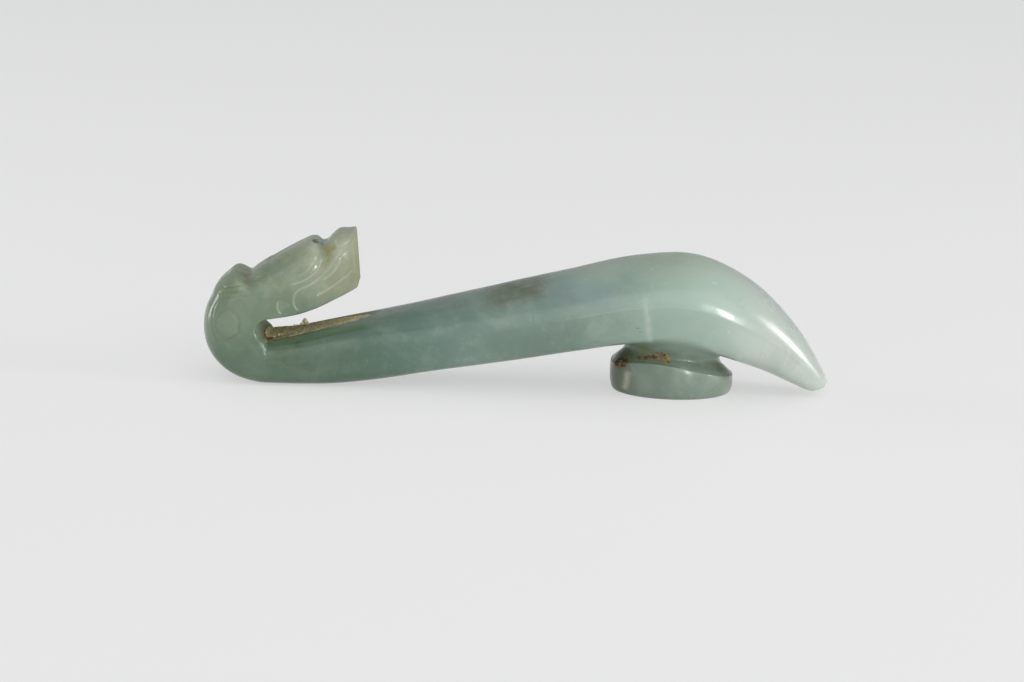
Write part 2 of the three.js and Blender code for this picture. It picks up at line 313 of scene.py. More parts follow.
# Strokes of the carving on the head's sides, in the XZ plane: points, half width and depth of
# the groove, then the height and fall of the step that stands on its left side (+) or right (-)
STROKES = [
    # the horn's lower line
    ([(-77, 15.2), (-76.3, 15.8), (-75.1, 16.2), (-73.8, 16.35), (-72.4, 16.75), (-70.9, 17.15),
      (-69.6, 17.65), (-68.2, 18.4), (-67.4, 18.9)], 0.14, 0.06, 0.1, 1.6),
    # lines under the horn
    ([(-76, 15.2), (-74.9, 15.5), (-73.3, 15.6), (-71.9, 15.9), (-70.4, 16)], 0.2, 0.03, 0, 1),
    ([(-75.3, 14.5), (-74, 14.75), (-72.6, 14.9), (-71, 15.1), (-69, 15.5)], 0.25, 0.025, 0, 1),
    # small C over the slit
    ([(-65.55, 14.5), (-65.8, 13.9), (-65.75, 13.2), (-65.5, 12.7), (-65.1, 12.15)], 0.15, 0.1, 0.04, 0.8),
    # the jaw's large C, which sweeps up to the nostril
    ([(-62.1, 12.6), (-62.7, 13.2), (-63.1, 14), (-63.15, 14.9), (-62.8, 15.8), (-62.1, 16.45),
      (-61.2, 16.85), (-60.3, 17.35), (-59.4, 18.05), (-58.5, 18.8), (-57.6, 19.7), (-56.9, 20.6),
      (-56.2, 21.6), (-55.4, 22.5), (-54.4, 23.1)], 0.15, 0.11, -0.09, 1.2),
    # sweeps above it
    ([(-63.8, 17.25), (-62.6, 17.5), (-61.6, 17.9), (-60.8, 18.35), (-60, 19.05), (-59.35, 19.85),
      (-58.9, 20.7), (-58.65, 21.6)], 0.15, 0.1, 0.09, 1),
    ([(-62.6, 18.6), (-61.6, 19.1), (-60.9, 19.65), (-60.3, 20.4), (-59.85, 21.1), (-59.6, 21.9)],
     0.15, 0.07, 0.07, 0.8),
    ([(-58.6, 17.85), (-57.3, 18.85), (-56.4, 19.85), (-55.8, 20.85), (-55.4, 21.6)], 0.15, 0.1, 0.07, 0.8),
    # the mouth
    ([(-59.6, 15.35), (-58.3, 15.95), (-57.4, 16.5), (-56.6, 17.05), (-55.8, 17.65), (-54.9, 18.35),
      (-54, 19.1), (-53.2, 19.9)], 0.15, 0.13, -0.08, 1),
    # nostril
    ([(-55.2, 25.3), (-56.2, 25.2), (-56.6, 24.6), (-56.5, 23.95), (-56, 23.5), (-55.4, 23.5),
      (-54.8, 23.9), (-54.3, 24.4), (-54.1, 25)], 0.13, 0.08, 0, 1),
    # the eye, and the brow over it
    ([(-62.7, 22), (-62.1, 22.6), (-61.4, 22.7), (-60.8, 22.2), (-61.3, 21.75), (-62, 21.7),
      (-62.7, 22)], 0.13, 0.02, 0, 1),
    ([(-63.6, 21.9), (-62.7, 22.9), (-61.6, 23.3), (-60.5, 23), (-59.8, 22.3)], 0.16, 0.03, 0.03, 0.8),
    # double line inside the bend's outer edge
    ([(-75.6, 14.3), (-76.3, 12.9), (-76.6, 11.3), (-76.5, 9.7), (-76.1, 8.1), (-75.5, 6.9)],
     0.14, 0.05, 0, 1),
    ([(-75.9, 12.6), (-76.1, 11.3), (-76, 9.9), (-75.6, 8.4)], 0.12, 0.03, 0, 1),
]
# the engraved ring on the bend: middle and the two radii
RING_X, RING_Z, RING_HALF_LENGTH, RING_HALF_HEIGHT = -74.0, 10.35, 1.98, 2.42
# low swellings of the eye, the nostril and the bend: middle, radius and height
DOMES = [(-61.7, 22.2, 0.55, 0.05), (-55.3, 24.3, 0.75, 0.09), (-73.6, 17.4, 1.7, 0.05)]


def ring_place(x, z):
    """0 in the middle of the engraved ring and 1 on its line."""
    return np.hypot((x - RING_X) / RING_HALF_LENGTH, (z - RING_Z) / RING_HALF_HEIGHT)


def carve(grid, normals):
    """Height of the carving over the grid, and how deep in a groove each point lies."""
    x, y, z = [grid[..., k].ravel() for k in range(3)]
    side = ease(0.35, 0.75, np.abs(normals[..., 1]).ravel())
    head = np.repeat(np.arange(len(grid)) >= len(body_x), grid.shape[1])
    shift, groove = np.zeros(len(x)), np.zeros(len(x))
    for points, width, depth, step, fall in STROKES:
        near, dist, place = from_stroke(points, x, z, 3.5 * max(width, fall))
        fade = window(place, -0.001, 0.1, 0.88, 1.001)
        cut = bell(dist, 0, width) * fade
        away = dist if step > 0 else -dist
        bank = ease(-0.6 * width, 1.4 * width, away) * np.exp(-np.maximum(away, 0) / fall)
        keep = side[near] * head[near]
        shift[near] += keep * (abs(step) * bank * fade - depth * cut)
        groove[near] = np.maximum(groove[near], keep * cut * min(depth / 0.12, 1))
    r = ring_place(x, z)
    ring = bell((r - 1) * RING_HALF_LENGTH, 0, 0.15) * side * head
    inner_ring = bell((r - 0.8) * RING_HALF_LENGTH, 0, 0.14) * side * head
    shift -= 0.04 * ring + 0.025 * inner_ring * ease(RING_X, RING_X + 1.2, x)
    shift += 0.03 * ease(0.9, 0.3, r) * side * head
    groove = np.maximum(groove, 0.12 * ring)
    for dome_x, dome_z, radius, height in DOMES:
        shift += height * bell(np.hypot(x - dome_x, z - dome_z), 0, radius) * side * head
    # the crown's middle line between the horns
    top = ease(0.35, 0.8, np.abs(normals[..., 2]).ravel()) * head * (z > 14)
    crown = bell(y, 0, 0.35) * window(x, -77.5, -74.5, -63.5, -61.5) * top
    shift -= 0.1 * crown
    groove = np.maximum(groove, 0.4 * crown)
    return shift.reshape(grid.shape[:2]), groove.reshape(grid.shape[:2])


def waves(p, size, seed):
    """Smooth noise, mostly between -1 and 1: a few plane waves of about the given size."""
    rng = np.random.default_rng(seed)
    total = np.zeros(p.shape[:-1])
    for _ in range(9):
        axis = rng.normal(size=3)
        axis *= 2 * math.pi / (size * rng.uniform(0.7, 1.6)) / np.linalg.norm(axis)
        total += np.sin(p @ axis + rng.uniform(0, 2 * math.pi))
    return total / 5.0


normals = grid_normals(stone)
shift, groove = carve(stone, normals)
shift += 0.022 * waves(stone, 7, 3) + 0.008 * waves(stone, 2.6, 4)
stone = stone + normals * shift[..., None]


def centre_of(ring):
    return (ring[0] + ring[len(ring) // 2]) / 2


def cap(ring, centre, bulge, steps):
    """Rings that close a tube's end over a low dome."""
    out = []
    for k in range(1, steps):
        angle = math.pi / 2 * k / steps
        out.append(centre + (ring - centre) * math.cos(angle) + bulge * math.sin(angle))
    return out, centre + bulge


def coords(mesh):
    co = np.empty(len(mesh.vertices) * 3)
    mesh.vertices.foreach_get("co", co)
    return co.reshape(-1, 3)


def mesh_volume(mesh):
    mesh.calc_loop_triangles()
    tri = np.empty(len(mesh.loop_triangles) * 3, int)
    mesh.loop_triangles.foreach_get("vertices", tri)
    co = coords(mesh)[tri].reshape(-1, 3, 3)
    return (co[:, 0] * np.cross(co[:, 1], co[:, 2])).sum() / 6


def new_mesh(name, verts, faces):
    """A mesh from points in millimetres, with its faces turned outwards."""
    mesh = bpy.data.meshes.new(name)
    mesh.from_pydata((np.asarray(verts) * MM).tolist(), [], faces)
    mesh.update()
    if mesh_volume(mesh) < 0:
        mesh.flip_normals()
    return mesh


def tube_mesh(name, rings, first_point, last_point):
    """A closed mesh over a run of rings."""
    n, m = rings.shape[:2]
    idx = np.arange(n * m).reshape(n, m)
    nxt = np.roll(idx, -1, 1)
    quads = np.stack([idx[:-1], nxt[:-1], nxt[1:], idx[1:]], -1).reshape(-1, 4)
    start = np.stack([np.full(m, n * m), nxt[0], idx[0]], -1)
    end = np.stack([np.full(m, n * m + 1), idx[-1], nxt[-1]], -1)
    verts = np.concatenate([rings.reshape(-1, 3), [first_point, last_point]])
    return new_mesh(name, verts, quads.tolist() + start.tolist() + end.tolist())


def point_values(mesh, name, values):
    """A number at each of the mesh's points, for the material to read."""
    layer = mesh.attributes.new(name, "FLOAT", "POINT")
    layer.data.foreach_set("value", np.asarray(values, np.float32))


def add_object(name, mesh, material=None):
    obj = bpy.data.objects.new(name, mesh)
    bpy.context.scene.collection.objects.link(obj)
    if material:
        mesh.materials.append(material)
    mesh.shade_smooth()
    return obj


# The stone's mesh
TIP_BULGE = np.array([0.16, 0, -0.05])
TIP_RINGS, FACE_RINGS = 5, 12
# the snout's bevel: how far each ring lies inside the edge, and how far ahead of it
BEVEL = ((0.03, 0.02), (0.07, 0.04), (0.12, 0.05), (0.3, 0.05), (0.9, 0.05))


def snout_face(edge):
    """Rings that close the snout with a flat face inside a small bevel, and the face's middle."""
    middle, rings = centre_of(edge), []
    for inset, ahead in BEVEL:
        ring = middle + (edge - middle) * (1 - inset / (SNOUT_WIDTH / 2))
        rings.append(ring + np.array([ahead, 0, 0]))
    flat_edge, flat_middle = rings[-1], rings[-1].mean(0)
    for share in np.linspace(1, 0, FACE_RINGS)[1:-1]:
        rings.append(flat_middle + (flat_edge - flat_middle) * share)
    return rings, flat_middle


tip_rings, tip_point = cap(stone[0], centre_of(stone[0]), TIP_BULGE, TIP_RINGS)
face_rings, face_point = snout_face(stone[-1])
all_rings = np.concatenate([np.array(tip_rings[::-1]), stone, np.array(face_rings)])
carving = tube_mesh("jade_carving", all_rings, tip_point, face_point)


# Button and stem
def underside(x, y):
    """Height of the body's underside over a point of the ground."""
    rib = body_rib(x)
    middle, half = (rib[:, 1] + rib[:, 3]) / 2, (rib[:, 3] - rib[:, 1]) / 2
    power = rib[:, 5]
    inside = np.clip(1 - np.abs(2 * y / rib[:, 4]) ** power, 0, 1)
    return middle - half * inside ** (1 / power)


def wall_top(x, y):
    side_rise = WALL_SIDE * (1 - 2 * WALL_SKEW * x / BUTTON_LENGTH) * (2 * y / BUTTON_WIDTH) ** 2
    return lerp(WALL_FRONT, WALL_BACK, x / BUTTON_LENGTH + 0.5) + side_rise


def stem_seat(x):
    return lerp(WALL_FRONT + SHOULDER_FRONT, WALL_BACK + SHOULDER_BACK, x / BUTTON_LENGTH + 0.5)


OVAL = np.linspace(0, 2 * math.pi, 288, endpoint=False)
FACE, RIM = np.array([FACE_LENGTH, FACE_WIDTH]), np.array([BUTTON_LENGTH, BUTTON_WIDTH])
STEM = np.array([STEM_LENGTH, STEM_WIDTH])
STEM_TOP = STEM + np.array([0, STEM_FLARE])  # the stem flares sideways into the hump
STEM_SINK = 1.6  # how far the stem's mesh reaches into the hump before they are joined
# share of the way up, and share of the way out from the face or the stem to the rim
WALL = [(0.0, 0.0), (0.06, 0.35), (0.22, 0.72), (0.55, 1.0), (0.85, 0.98), (1.0, 0.9)]
SHOULDER = [(0.0, 0.90), (0.1, 0.84), (0.25, 0.72), (0.5, 0.48), (0.75, 0.2), (1.0, 0.0)]


def oval(size, height):
    x, y = np.cos(OVAL) * size[0] / 2, np.sin(OVAL) * size[1] / 2
    return np.stack([x, y, height(x, y)], 1)


def sunk_seat(x, y):
    return underside(x, y) + STEM_SINK


def button_rings():
    """Rings from the middle of the button's flat face up to the stem's top."""
    wall, shoulder = table(WALL), table(SHOULDER)
    rings = [oval(FACE * share, lambda x, y: 0 * x) for share in (0.2, 0.4, 0.6, 0.8, 0.94)]
    for up in np.linspace(0, 1, 30):
        size = lerp(FACE, RIM, wall(up)[0, 0])
        rings.append(oval(size, lambda x, y: up * wall_top(x, y)))
    for up in np.linspace(0, 1, 26)[1:]:
        size = lerp(STEM, RIM, shoulder(up)[0, 0])
        rings.append(oval(size, lambda x, y: lerp(wall_top(x, y), stem_seat(x), up)))
    for up in np.linspace(0, 1, 24)[1:]:
        size = lerp(STEM, STEM_TOP, up**1.6)
        rings.append(oval(size, lambda x, y: lerp(stem_seat(x), sunk_seat(x, y), up)))
    rings += [oval(STEM_TOP * share, sunk_seat) for share in (0.8, 0.6, 0.4, 0.2)]
    return np.array(rings)


button = button_rings()
ripple = 0.018 * waves(button, 5, 8) * ease(0, 0.5, button[..., 2])
button = button + grid_normals(button) * ripple[..., None]
foot = tube_mesh("button_part", button, (0, 0, 0), (0, 0, sunk_seat(0, 0)[0]))


def joined(base, tool):
    """The union of two closed meshes as one mesh."""
    first, second = add_object("join_base", base), add_object("join_tool", tool)
    modifier = first.modifiers.new("join", "BOOLEAN")
    modifier.operation = "UNION"
    modifier.solver = "EXACT"
    modifier.object = second
    result = bpy.data.meshes.new_from_object(first.evaluated_get(bpy.context.evaluated_depsgraph_get()))
    bpy.data.objects.remove(first)
    bpy.data.objects.remove(second)
    return result


jade_mesh = joined(carving, foot)
jade_mesh.name = "jade_carving"


def soften(mesh, weight, rounds):
    """Laplacian smoothing where the weight is, which leaves a fillet in the corner."""
    co = coords(mesh)
    edges = np.empty(len(mesh.edges) * 2, int)
    mesh.edges.foreach_get("vertices", edges)
    pairs = edges.reshape(-1, 2)
    pairs = pairs[(weight[pairs] > 0).any(1)]
    ends, others = np.concatenate([pairs, pairs[:, ::-1]]).T
    count = np.maximum(np.bincount(ends, minlength=len(co)), 1)[:, None]
    for _ in range(rounds):
        total = np.stack([np.bincount(ends, co[others, k], len(co)) for k in range(3)], 1)
        co += 0.8 * weight[:, None] * (total / count - co)
    mesh.vertices.foreach_set("co", co.ravel())
    mesh.update()


# the fillet between the stem and the hump, by the distance to their seam
seam = oval(lerp(STEM, STEM_TOP, 0.8), underside)
points = coords(jade_mesh) / MM
close = (np.abs(points) < (12, 11, 14)).all(1)
gap = np.full(len(points), np.inf)
gap[close] = np.sqrt(((points[close][:, None] - seam[None]) ** 2).sum(2).min(1))
soften(jade_mesh, ease(3.2, 0.8, gap), 240)

# Masks for the material: a number at each point of the stone
points = coords(jade_mesh) / MM
x, y, z = points.T
top_z = np.interp(x, fine_x, fine_body[:, 1])
middle_z = np.interp(x, fine_x, (fine_body[:, 0] + fine_body[:, 1]) / 2)
# middle, three radii and strength of each stain
OCHRE_SPOTS = [
    (-57.7, -4.2, 23, 1.5, 1.6, 0.9, 0.8),
    (-57.6, -5, 21.6, 0.8, 1.2, 1.3, 0.7),
    (-58.3, -5, 20.4, 0.6, 1, 0.7, 0.5),
    (-61.8, -4.3, 22.9, 0.6, 0.8, 0.5, 0.5),
    (-61.2, -5, 22.2, 0.5, 0.8, 0.5, 0.4),
    (-71.6, -3.4, 18.2, 1.3, 1.8, 0.8, 0.8),
    (-71, -5.6, 17.2, 0.7, 1.2, 0.9, 0.6),
    (-73.2, -3, 18.8, 1, 1.2, 0.6, 0.5),
    (-74, -5.5, 15.6, 2.2, 1.5, 0.5, 0.3),
    (-62.7, -7.2, 7.2, 0.8, 1, 0.7, 0.7),
    (-64.2, -7.2, 5, 2.4, 1.2, 2.2, 0.25),
    (-76.2, -5.5, 5.3, 0.5, 1.6, 1.1, 0.5),
    (-5, -5, 7.6, 2.2, 2.2, 1.1, 0.7),
    (-8, -4.5, 6.4, 2, 2.5, 1.5, 0.9),
    (-8.3, -6.4, 2.6, 1.6, 2.6, 2.6, 0.4),
    (-69, -4, 9, 1, 3.6, 2.6, 0.2),
    (-58.5, 2.6, 9, 4.5, 1.6, 1.2, 0.6),
    (8.3, -2.6, 4.2, 2.2, 2.2, 1.2, 0.6),
    (9.7, -1.6, 3.3, 0.9, 1.2, 0.8, 0.5),
    (-59, -4.6, 14.3, 0.7, 0.35, 0.4, 0.9),
    (-57.2, -4.2, 15, 0.5, 0.4, 0.4, 0.8),
    (-54.6, -3.8, 16.2, 0.5, 0.4, 0.4, 0.8),
    (24.2, -1.4, 1.3, 0.5, 0.6, 0.5, 0.5),
    (22.6, 0.8, 1.6, 0.35, 0.6, 0.5, 0.4),
]
OLIVE_SPOTS = [
    (-60, -2.5, 23.9, 0.6, 1.1, 0.5, 0.9),
    (-59.05, -1.9, 23.35, 0.4, 0.7, 0.35, 0.8),
    (-8.8, -4.1, 5.3, 1.5, 1.7, 1.2, 0.5),
    (-57.5, -5.1, 21.3, 0.2, 0.4, 0.22, 0.5),
    (-60.4, -4.9, 13.7, 0.9, 0.2, 0.35, 1),
    (-62.5, -6.6, 7.4, 0.25, 0.6, 0.25, 0.75),
    (-5.7, -10.3, 12.9, 0.13, 0.4, 0.13, 0.7),
    (-6.4, -10.3, 12.5, 0.1, 0.4, 0.1, 0.6),
    (-5.9, -10.2, 11.9, 0.1, 0.4, 0.1, 0.6),
    (-5.3, -10.3, 13.5, 0.09, 0.4, 0.09, 0.6),
    (-5.4, -8, 9.5, 0.35, 0.6, 0.3, 0.5),
    (-4.2, -8.4, 9.5, 0.2, 0.5, 0.25, 0.5),
    (23.6, -0.6, 1.2, 0.12, 0.6, 0.3, 0.7),
]


def nearest_values(source, values, targets):
    """Values of the closest source points."""
    tree = KDTree(len(source))
    for k, p in enumerate(source):
        tree.insert(p, k)
    tree.balance()
    return np.array([values[tree.find(p)[1]] for p in targets])


def in_carving(p):
    """Where the stone is carved: the head and the bend, clear of the ground."""
    return (p[:, 0] < -50) & (p[:, 2] > 3)


def blobs(spots):
    """Soft uneven spots on the stone."""
    mask = np.zeros(len(points))
    wobble = 0.25 * waves(points, 1.1, 21) + 0.18 * waves(points, 0.45, 22)
    for *middle, rx, ry, rz, strength in spots:
        radii = np.array([rx, ry, rz])
        near = np.flatnonzero((np.abs(points - middle) < 2 * radii).all(1))
        r = np.linalg.norm((points[near] - middle) / radii, axis=1) + wobble[near]
        mask[near] = np.maximum(mask[near], strength * ease(1.25, 0.45, r))
    return mask


def ochre_mask():
    """Brown and yellow stains, and the stained line of the engraved ring."""
    line = bell((ring_place(x, z) - 1) * RING_HALF_LENGTH, 0, 0.16)
    line *= lerp(0.2, 0.45, ease(-75.5, -72.5, x)) * (np.abs(y) > 5) * (x < -70)
    return np.maximum(blobs(OCHRE_SPOTS), line)


def vein_and_highlight_mask():
    """A pale vein on the hump, a faint line along its middle that is a painted reflection, and a streak on
    the button that is a painted highlight.
    """
    vein_x = -4.9 + 0.15 * (15 - z) + 0.25 * waves(points, 5, 31)
    vein_half = 0.55 + 0.22 * waves(points, 2.4, 34)
    vein_and_highlight = bell(x, vein_x, vein_half) * window(z, 8.8, 10.5, 15.5, 19.6)
    flecks = ease(0.5, 1.1, waves(points, 0.55, 35)) * bell(x, vein_x - 1, 1.1)
    vein_and_highlight = np.maximum(vein_and_highlight, 0.7 * flecks * window(z, 13, 15, 18.5, 20.5))
    vein_and_highlight *= np.clip(0.8 + 0.35 * waves(points, 1.7, 32), 0, 1) * ease(2, -3, y)
    # painted reflection: a faint pale line of light along the side's middle
    line = bell(z, middle_z + 0.1, 0.11) * window(x, -22, -12, 2, 9)
    vein_and_highlight = np.maximum(vein_and_highlight, 0.35 * line * (np.abs(y) > 5))
    # painted highlight: a pale upright streak on the button's left end
    streak = bell(x, 0.1 * z - 8, 0.5) * window(z, 0.5, 1.3, 3.6, 4.6)
    return np.maximum(vein_and_highlight, 1.5 * streak * (y < -2))


def tan_mask():
    """A tan patch on top of the shaft."""
    tan = window(x, -33.5, -29, -24, -20) * (z > 10)
    tan *= ease(3, 0.9, top_z - z) * np.clip(0.75 + 0.3 * waves(points, 2.2, 33), 0, 1)
    return tan * ease(3.5, -1, y)


def mist_mask():
    """A bluish cloud high on the near side, in front of the hump."""
    r = np.hypot((x + 15) / 8, (z - 17.5) / 2.6)
    return ease(1.3, 0.3, r) * ease(-1, -5, y)


def painted_shade_mask():
    """Painted shade on the lower half of the shaft and the hump."""
    painted_shade = ease(1.5, -2.5, z - middle_z) * window(x, -40, -20, 4, 14)
    return painted_shade * lerp(0.4, 1, ease(-2, -16, x))


def rim_mask():
    """Thin edges of the head, which let light through: the snout's rim and the jaw's lower edge."""
    jaw_line = head_rib(np.linspace(0, 1, 60))
    over_jaw = z - np.interp(x, jaw_line[:, 2], jaw_line[:, 3])
    in_jaw = (x > SLIT_END_X + 1) & (over_jaw > -0.6) & (x < SNOUT_X + 1)
    edge = 0.3 * in_jaw * bell(over_jaw, 0, 0.3) * ease(-66, -60, x)
    lean_x = SNOUT_X - SNOUT_LEAN * np.clip(over_jaw / 9, 0, 1)
    return np.maximum(edge, in_jaw * ease(0.12, 0.02, lean_x - x))


def film_masks():
    """A film of soil on the slit's floor and end, which on the end's far side is painted shade, and the
    wider area that isn't polished there.
    """
    floor = ease(0.9, 0.35, np.abs(top_z - z)) * window(x, -70.5, -69.5, -54, -48)
    off_middle = np.abs(y + 0.5 * ease(-66, -60, x)) + 0.4 * waves(points, 1.5, 37)
    floor *= ease(5.6, 4.6, off_middle) * np.clip((y + 4.6 - 0.35 * (x + 62)) / 0.8, 0, 1)
    off_wall = np.hypot(x - SLIT_END_X, z - SLIT_END_Z) - SLIT_RADIUS
    end = ease(0.35, 0.1, off_wall) * (x < SLIT_END_X + 0.3)
    dull = np.maximum(floor, end * ease(7.2, 6.6, np.abs(y)))
    # painted shade: on the slit's end the film is dark mainly on the far side, which lies in shade
    far_side = lerp(0.12, 1, ease(1, 4.5, y))
    return np.maximum(floor, end * far_side * ease(6.6, 5.8, np.abs(y))), dull


def under_slit_light_mask():
    """Painted light: a paler band right under the slit, on the near side, that lifts the shade under the
    jaw.
    """
    under_slit_light = bell(z, top_z - 0.25, 0.4) * window(x, -68.5, -66, -56, -46)
    return under_slit_light * ease(-3, -4.5, y)


def foot_mask():
    """The button and the stem."""
    under_z = underside(x, np.clip(y, -7, 7))
    return ease(0.3, 2.2, under_z - z) * ease(11.6, 10.6, np.abs(x))


stone_points = stone.reshape(-1, 3)
carved, near_carving = in_carving(stone_points), in_carving(points)
groove_mask = np.zeros(len(points))
groove_mask[near_carving] = nearest_values(
    stone_points[carved], groove.ravel()[carved], points[near_carving]
)
# the lines near the horn hold dark soil, and the others show the stone's pale powder together with a
# painted highlight along their edges
horn_side = ease(-66, -67.5, x)
dark_line = groove_mask * horn_side * (y < 0)
film_mask, matte_mask = film_masks()
masks = {
    "groove": groove_mask * (1 - 0.85 * horn_side),
    "ochre": ochre_mask(),
    "olive": np.maximum(blobs(OLIVE_SPOTS), 0.75 * dark_line),
    "vein_and_highlight": vein_and_highlight_mask(),
    "tan": tan_mask(),
    "mist": mist_mask(),
    "painted_shade": painted_shade_mask(),
    "rim": rim_mask(),
    "film": film_mask,
    "matte": matte_mask,
    "under_slit_light": under_slit_light_mask(),
    "foot": foot_mask(),
}
for name, values in masks.items():
    point_values(jade_mesh, name, values)


# Materials
def srgb(*tone):
    """A colour given as it looks on screen, from 0 to 255."""
    c = np.array(tone) / 255
    return (*np.where(c <= 0.04045, c / 12.92, ((c + 0.055) / 1.055) ** 2.4), 1)


class Nodes:
    """Short calls for building a material's node tree."""

    def __init__(self, name):
        self.material = bpy.data.materials.new(name)
        self.material.use_nodes = True
        self.tree = self.material.node_tree
        self.shader = self.tree.nodes["Principled BSDF"]
        self.where = self.node("ShaderNodeTexCoord").outputs["Object"]

    def node(self, kind, inputs=None, **settings):
        """A new node, whose inputs take a value, another node's output or the name of a mask."""
        node = self.tree.nodes.new(kind)
        for key, given in settings.items():
            setattr(node, key, given)
        for key, given in (inputs or {}).items():
            self.value(node.inputs[key], given)
        return node

    def link(self, output, target):
        self.tree.links.new(output, target)

    def value(self, target, given):
        if isinstance(given, str):
            given = self.node("ShaderNodeAttribute", attribute_name=given).outputs["Fac"]
        if isinstance(given, bpy.types.NodeSocket):
            self.link(given, target)
        else:
            target.default_value = given

    def set(self, socket, given):
        self.value(self.shader.inputs[socket], given)

    def noise(self, scale, detail=3, rough=0.55, warp=0):
        look = {"Scale": scale, "Detail": detail, "Roughness": rough, "Distortion": warp}
        return self.node("ShaderNodeTexNoise", {"Vector": self.where, **look}).outputs["Fac"]

    def grains(self, scale):
        """Distance to the middle of the nearest grain."""
        look = {"Vector": self.where, "Scale": scale}
        return self.node("ShaderNodeTexVoronoi", look, feature="F1").outputs["Distance"]

    def ranged(self, value, low, high, to_low=0, to_high=1, kind="SMOOTHSTEP"):
        ends = {"From Min": low, "From Max": high, "To Min": to_low, "To Max": to_high}
        node = self.node("ShaderNodeMapRange", {"Value": value, **ends}, interpolation_type=kind)
        return node.outputs["Result"]

    def span(self, axis, low, high, to_low=0, to_high=1):
        """A soft step along an axis, between two places in millimetres."""
        return self.ranged(axis, low * MM, high * MM, to_low, to_high)

    def math(self, operation, a, b):
        return self.node("ShaderNodeMath", {0: a, 1: b}, operation=operation).outputs["Value"]

    def times(self, a, b):
        return self.math("MULTIPLY", a, b)

    def mix(self, factor, a, b, blend="MIX"):
        parts = {"Factor": factor, "A": a, "B": b}
        return self.node("ShaderNodeMix", parts, data_type="RGBA", blend_type=blend).outputs["Result"]

    def tint(self, colour, mask, share, tone):
        """A colour drawn towards a screen tone, by a share of the mask."""
        return self.mix(self.times(mask, share), colour, srgb(*tone))

    def ramp(self, value, stops):
        node = self.node("ShaderNodeValToRGB", {"Fac": value})
        elements = node.color_ramp.elements
        while len(elements) < len(stops):
            elements.new(0.5)
        for element, (place, tone) in zip(elements, stops):
            element.position = place
            element.color = srgb(*tone)
        return node.outputs["Color"]

    def bump(self, height, distance, strength, under=None):
        """Bumps of a height in millimetres, over others where they are given."""
        inputs = {"Strength": strength, "Distance": distance * MM, "Height": height}
        if under:
            inputs["Normal"] = under
        return self.node("ShaderNodeBump", inputs).outputs["Normal"]


# place along the hook from the bend (0) to the tip (1), and the tone there: the stone's own, with painted
# light that makes the tail paler and the shaft darker
JADE_AND_LIGHT_TONES = [
    (0.00, (126, 144, 120)),
    (0.06, (116, 136, 110)),
    (0.14, (98, 124, 98)),
    (0.24, (90, 120, 100)),
    (0.33, (98, 128, 113)),
    (0.44, (117, 142, 130)),
    (0.57, (135, 157, 145)),
    (0.69, (164, 187, 172)),
    (0.79, (174, 194, 181)),
    (0.89, (184, 197, 186)),
    (1.00, (190, 197, 188)),
]
# mask, share and tone of the stone's regions, among them painted shade and painted light
REGIONS = [
    ("foot", 0.85, (121, 134, 119)),
    # painted shade on the lower half of the shaft and the hump
    ("painted_shade", 0.45, (100, 122, 104)),
    ("mist", 0.35, (134, 152, 160)),
    # painted light under the slit, on the near side
    ("under_slit_light", 0.8, (144, 168, 134)),
]


